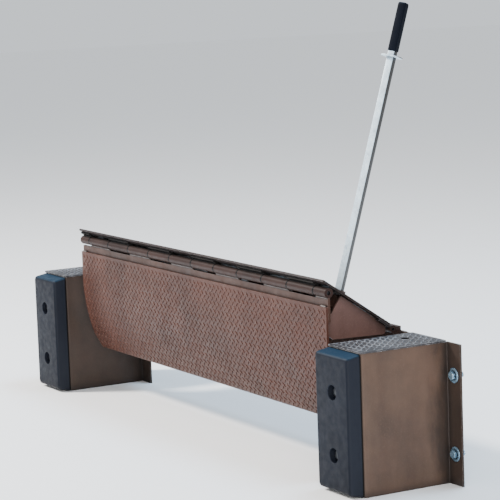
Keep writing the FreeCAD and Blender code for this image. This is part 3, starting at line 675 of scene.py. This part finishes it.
def add_knuckle_welds():
    """Beads where the hinge knuckles meet their leaves."""
    lip_beads = Shape()
    for low, high in islands("lip_knuckles"):
        for sign in (-1, 1):
            y = LIP_HINGE.y + sign * 5.2 * MM
            z = LIP_HINGE.z - 15.2 * MM
            add_weld(lip_beads, Vector((low.x + 2 * MM, y, z)), Vector((high.x - 2 * MM, y, z)), 2.6 * MM)
    end_x = 834 * MM
    for sign in (-1, 1):
        start = Vector((sign * end_x, LIP_FRONT_Y + 4 * MM, LIP_TOP_Z + 1 * MM))
        add_weld(lip_beads, start, start - Vector((sign * 30 * MM, 0, 0)), 3.4 * MM)
    beads = lip_beads.piece("lip_welds", "weld", "lip")

    deck_beads = Shape()
    for low, high in islands("deck_front_knuckles"):
        for v in (-9.5 * MM, 9.5 * MM):
            start = Vector((low.x + 2 * MM, LIP_HINGE.y, LIP_HINGE.z))
            start = start + ALONG_DECK * v + DECK_NORMAL * 12.4 * MM
            add_weld(deck_beads, start, start + X_AXIS * (high.x - low.x - 4 * MM), 2.4 * MM)
    # The deck's welds take the near-black paint that stands in for shade.
    beads = deck_beads.piece("deck_welds", "shade_black_paint", "deck")


def islands(node):
    """The lowest and highest corners of each separate solid in a node."""
    bm = bmesh.new()
    bm.from_mesh(frame["nodes"][node].data)
    bmesh.ops.remove_doubles(bm, verts=bm.verts, dist=1e-6)
    seen = set()
    found = []
    for vertex in bm.verts:
        if vertex in seen:
            continue
        stack = [vertex]
        seen.add(vertex)
        members = []
        while stack:
            current = stack.pop()
            members.append(current.co.copy())
            for edge in current.link_edges:
                other = edge.other_vert(current)
                if other not in seen:
                    seen.add(other)
                    stack.append(other)
        low = Vector([min(m[i] for m in members) for i in range(3)])
        high = Vector([max(m[i] for m in members) for i in range(3)])
        found.append((low, high))
    bm.free()
    return found


# ---- bumpers ----
BUMPER_BACK_Y = -304.5 * MM
BUMPER_FRONT_Y = -352.5 * MM
BUMPER_HOLES_Z = (-113 * MM, -299 * MM)
COUNTERBORE_R = 22.5 * MM
COUNTERBORE_DEPTH = 25 * MM
BUMPER_BORE_R = 9 * MM


def rounded_outline(x0, x1, z0, z1, y, corner, steps=6):
    """Points round an upright rectangle with rounded corners, in the plane at y."""
    points = []
    for quarter, (x, z) in enumerate(((x1, z1), (x0, z1), (x0, z0), (x1, z0))):
        centre_x = x - corner if x == x1 else x + corner
        centre_z = z - corner if z == z1 else z + corner
        for i in range(steps + 1):
            angle = math.pi / 2 * (quarter + i / steps)
            points.append(Vector((centre_x + corner * math.cos(angle), y, centre_z + corner * math.sin(angle))))
    return points


def bumper_ring(low, high, y, inset):
    """The block's outline at y: its top and bottom slope in towards the front."""
    forward = (BUMPER_BACK_Y - y) / (BUMPER_BACK_Y - BUMPER_FRONT_Y)
    top = high[2] - 9 * MM * forward
    bottom = low[2] + 12 * MM * forward
    return rounded_outline(low[0] + inset, high[0] - inset, bottom + inset, top - inset, y, 9 * MM)


def add_bumpers():
    """Moulded blocks with rounded edges and two counterbored holes each."""
    for side in ("right", "left"):
        low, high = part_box(side + "_bumper")
        middle_x = (1 if side == "right" else -1) * BOX_MIDDLE_X
        bm = bmesh.new()

        def ring(points):
            verts = [bm.verts.new(point) for point in points]
            return verts, [bm.edges.new((verts[i], verts[(i + 1) % len(verts)])) for i in range(len(verts))]

        def skin(first, second):
            for i in range(len(first)):
                k = (i + 1) % len(first)
                bm.faces.new((first[i], first[k], second[k], second[i]))

        edge_r = 9 * MM
        back_r = 3 * MM
        stations = []
        for i in range(4):
            turn = math.pi / 2 * i / 3
            stations.append((BUMPER_BACK_Y - back_r * (1 - math.cos(turn)), back_r * (1 - math.sin(turn))))
        for i in range(8):
            turn = math.pi / 2 * i / 7
            stations.append((BUMPER_FRONT_Y + edge_r * (1 - math.sin(turn)), edge_r * (1 - math.cos(turn))))
        outlines = [ring(bumper_ring(low, high, y, inset)) for y, inset in stations]
        for (first, _), (second, _) in zip(outlines, outlines[1:]):
            skin(first, second)
        front_edges = list(outlines[-1][1])
        back_edges = list(outlines[0][1])
        for z in BUMPER_HOLES_Z:
            floor_y = BUMPER_FRONT_Y + COUNTERBORE_DEPTH
            profile = ((COUNTERBORE_R + 0.8 * MM, BUMPER_FRONT_Y), (COUNTERBORE_R, BUMPER_FRONT_Y + 0.8 * MM),
                       (COUNTERBORE_R, floor_y), (BUMPER_BORE_R, floor_y), (BUMPER_BORE_R, BUMPER_BACK_Y))
            rings = [ring(circle(Vector((middle_x, y, z)), X_AXIS, Z_AXIS, radius, 40))
                     for radius, y in profile]
            for (first, _), (second, _) in zip(rings, rings[1:]):
                skin(first, second)
            front_edges += rings[0][1]
            back_edges += rings[-1][1]
        for edges in (front_edges, back_edges):
            bmesh.ops.triangle_fill(bm, use_beauty=True, use_dissolve=False, edges=edges)
        bmesh.ops.recalc_face_normals(bm, faces=bm.faces)
        mesh = bpy.data.meshes.new(side + "_moulded_bumper")
        bm.to_mesh(mesh)
        bm.free()
        for polygon in mesh.polygons:
            polygon.use_smooth = True
        mesh.materials.append(MATERIALS["bumper_rubber"])
        piece = bpy.data.objects.new(side + "_moulded_bumper", mesh)
        bpy.context.scene.collection.objects.link(piece)
        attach(piece, "frame")
        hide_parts(side + "_bumper")
        mesh.set_sharp_from_angle(angle=math.radians(35))


# ---- fasteners ----
def add_hex(shape, centre, axis, flats, height, chamfer=1.6 * MM):
    """A hexagonal head or nut from centre along axis, chamfered round its free end."""
    side = Z_AXIS
    other = axis.cross(side)
    corner_r = flats / math.sqrt(3)

    def hexagon(at, radius, limit):
        points = []
        for i in range(36):
            angle = 2 * math.pi * i / 36
            flat = radius * math.cos(math.pi / 6) / math.cos((angle % (math.pi / 3)) - math.pi / 6)
            edge = min(flat, limit)
            points.append(centre + axis * at + edge * (math.cos(angle) * side + math.sin(angle) * other))
        return points

    inner = flats / 2 * 0.97
    rings = [hexagon(0.0, corner_r, corner_r), hexagon(height - chamfer, corner_r, corner_r),
             hexagon(height - chamfer * 0.5, corner_r, (corner_r + inner) / 2 + 0.3 * MM),
             hexagon(height, corner_r, inner), hexagon(height, corner_r, inner * 0.6)]
    shape.rings(rings)


def add_thread(shape, start, axis, radius, length, pitch=2.0 * MM):
    """A threaded shank drawn as a fine helix-like wave along its length."""
    side = axis.orthogonal().normalized()
    other = axis.cross(side)
    per_turn = 4
    steps = int(length / pitch * per_turn)
    rings = []
    count = 24
    for i in range(steps + 1):
        ring = []
        for j in range(count):
            phase = (i / per_turn - j / count) % 1.0
            depth = 0.9 * MM * abs(2 * phase - 1)
            reach = radius - depth
            angle = 2 * math.pi * j / count
            outward = math.cos(angle) * side + math.sin(angle) * other
            ring.append(start + axis * (length * i / steps) + reach * outward)
        rings.append(ring)
    tip = [start + axis * (length + 1 * MM) + (point - start - axis * length) * 0.8 for point in rings[-1]]
    rings.append(tip)
    shape.rings(rings)


def add_disc(shape, centre, axis, radius, thickness, hole=0.0, count=40, edge=0.5 * MM):
    """A washer or plain disc with softened edges, from centre along axis."""
    side = axis.orthogonal().normalized()
    other = axis.cross(side)
    outline = [(hole, 0.0), (radius - edge, 0.0), (radius, edge), (radius, thickness - edge),
               (radius - edge, thickness), (hole, thickness)]
    rings = [circle(centre + axis * rise, side, other, r, count) for r, rise in outline]
    shape.rings(rings, closed_ends=False, looped=True)


def add_bolts():
    for side in ("right", "left"):
        for group in ("bumper", "anchor"):
            bolts = Shape()
            washers = Shape()
            washer_low, washer_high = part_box(side + "_" + group + "_washers")
            washer_r = (washer_high[0] - washer_low[0]) / 2
            for low, high in islands(side + "_" + group + "_bolts"):
                x = (low.x + high.x) / 2
                z = (low.z + high.z) / 2
                seat = Vector((x, washer_low[1], z))
                add_hex(bolts, seat + Vector((0, 0.2 * MM, 0)), -Y_AXIS, 24 * MM, 10.2 * MM)
                add_thread(bolts, seat, Y_AXIS, 8 * MM, high.y - seat.y - 1 * MM)
                add_disc(washers, seat, Y_AXIS, washer_r, washer_high[1] - washer_low[1], 8.6 * MM)
            finish = "zinc_plate" if group == "anchor" else "dull_zinc"
            piece = bolts.piece(side + "_" + group + "_bolt_set", finish, "frame")
            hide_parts(side + "_" + group + "_bolts")
            add_bevel(piece, 0.3 * MM, 1, 50.0)
            piece = washers.piece(side + "_" + group + "_washer_set", finish, "frame")
            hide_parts(side + "_" + group + "_washers")


# ---- handle ----
TUBE_SIDE = 22.4 * MM
TUBE_BORE = 18.4 * MM
GUARD_R = 33.5 * MM
GRIP_SIDE = 27 * MM


def handle_frame():
    """The handle's own axes: two across its faces and one along it."""
    tilt = math.atan2(HANDLE_AXIS.y, HANDLE_AXIS.z)
    turn = Matrix.Rotation(-tilt, 3, "X") @ Matrix.Rotation(HANDLE_TWIST, 3, "Z")
    return turn @ X_AXIS, turn @ Y_AXIS, turn @ Z_AXIS


def handle_height(node, end):
    """How far along the handle from the lever's pivot a node starts (0) or ends (1)."""
    along = handle_frame()[2]
    heights = [(v.co - LEVER_PIVOT).dot(along) for v in frame["nodes"][node].data.vertices]
    return max(heights) if end else min(heights)


def add_handle():
    first, second, along = handle_frame()

    def at(height):
        return LEVER_PIVOT + along * height

    low = handle_height("handle_tube", 0)
    high = handle_height("handle_tube", 1)
    outer = TUBE_SIDE
    inner = TUBE_BORE
    tube = Shape()
    rings = [rounded_square(at(low), first, second, inner, 1.2 * MM),
             rounded_square(at(low), first, second, outer - 0.6 * MM, 2.6 * MM),
             rounded_square(at(low + 0.4 * MM), first, second, outer, 2.8 * MM),
             rounded_square(at(high - 0.4 * MM), first, second, outer, 2.8 * MM),
             rounded_square(at(high), first, second, outer - 0.6 * MM, 2.6 * MM),
             rounded_square(at(high), first, second, inner, 1.2 * MM)]
    tube.rings(rings, looped=True)
    piece = tube.piece("square_handle", "galvanised", "handle")
    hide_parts("handle_tube")
    add_bevel(piece, 0.2 * MM, 1, 60.0)

    guard = Shape()
    guard_low = handle_height("hand_guard", 0)
    guard_high = handle_height("hand_guard", 1)
    thickness = guard_high - guard_low
    edge = 0.6 * MM
    rings = []
    for radius, rise in ((GUARD_R - edge, 0.0), (GUARD_R, edge), (GUARD_R, thickness - edge),
                         (GUARD_R - edge, thickness)):
        rings.append(circle(at(guard_low + rise), first, second, radius, 48))
    guard.rings(rings)
    piece = guard.piece("guard_disc", "galvanised", "handle")
    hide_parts("hand_guard")

    grip = Shape()
    grip_low = handle_height("hand_grip", 0)
    grip_high = handle_height("handle_cap", 1) - 0.2 * MM
    side = GRIP_SIDE
    rings = [rounded_square(at(grip_low), first, second, side - 3.5 * MM, 4 * MM)]
    length = grip_high - grip_low
    steps = 96
    for i in range(steps + 1):
        height = length * i / steps
        bottom = 1 - min(1.0, height / (3 * MM))
        top = 1 - min(1.0, (length - height) / (8 * MM))
        inset = 3 * MM * (1 - math.sqrt(1 - bottom ** 2)) + 5 * MM * (1 - math.sqrt(1 - top ** 2))
        rings.append(rounded_square(at(grip_low + height), first, second, side - inset, 5.5 * MM))
    rings.append(rounded_square(at(grip_high), first, second, side - 7 * MM, 4 * MM))
    grip.rings(rings)
    piece = grip.piece("moulded_grip", "grip_vinyl", "handle")
    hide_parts("hand_grip")


# ---- counterbalance springs ----
def add_springs():
    """Torsion spring coils round the rear hinge pin."""
    for node in ("right_spring", "left_spring"):
        low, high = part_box(node)
        wire = 1.9 * MM
        radius = (high[2] - low[2]) / 2 - wire
        turns = int((high[0] - low[0]) / (2.25 * wire))
        per_turn = 20
        centre = REAR_HINGE
        path = []
        for i in range(turns * per_turn + 1):
            angle = 2 * math.pi * i / per_turn
            x = low[0] + wire + (high[0] - low[0] - 2 * wire) * i / (turns * per_turn)
            path.append(Vector((x, centre.y + radius * math.cos(angle), centre.z + radius * math.sin(angle))))
        shape = Shape()
        rings = []
        for i, point in enumerate(path):
            outward = Vector((0, point.y - centre.y, point.z - centre.z)).normalized()
            rings.append(circle(point, outward, X_AXIS, wire, 8))
        shape.rings(rings)
        piece = shape.piece(node + "_coil", "spring_steel", "frame")
        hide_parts(node)


# ---- everything else keeps its own shape ----
def dress_nodes():
    """Each remaining CAD node gets its slot's material and softened edges."""
    slots = {entry["node"]: entry["material_slot"] for entry in frame["record"]["subparts"]}
    for name, node in frame["nodes"].items():
        material = MATERIALS[FINISH_OF_NODE.get(name, slots[name])]
        node.data.materials.clear()
        node.data.materials.append(material)
        add_bevel(node, 0.5 * MM, 2)


add_camera()
add_stage()
dress_nodes()
add_tread()
add_knuckle_welds()
add_bumpers()
add_bolts()
add_handle()
add_springs()
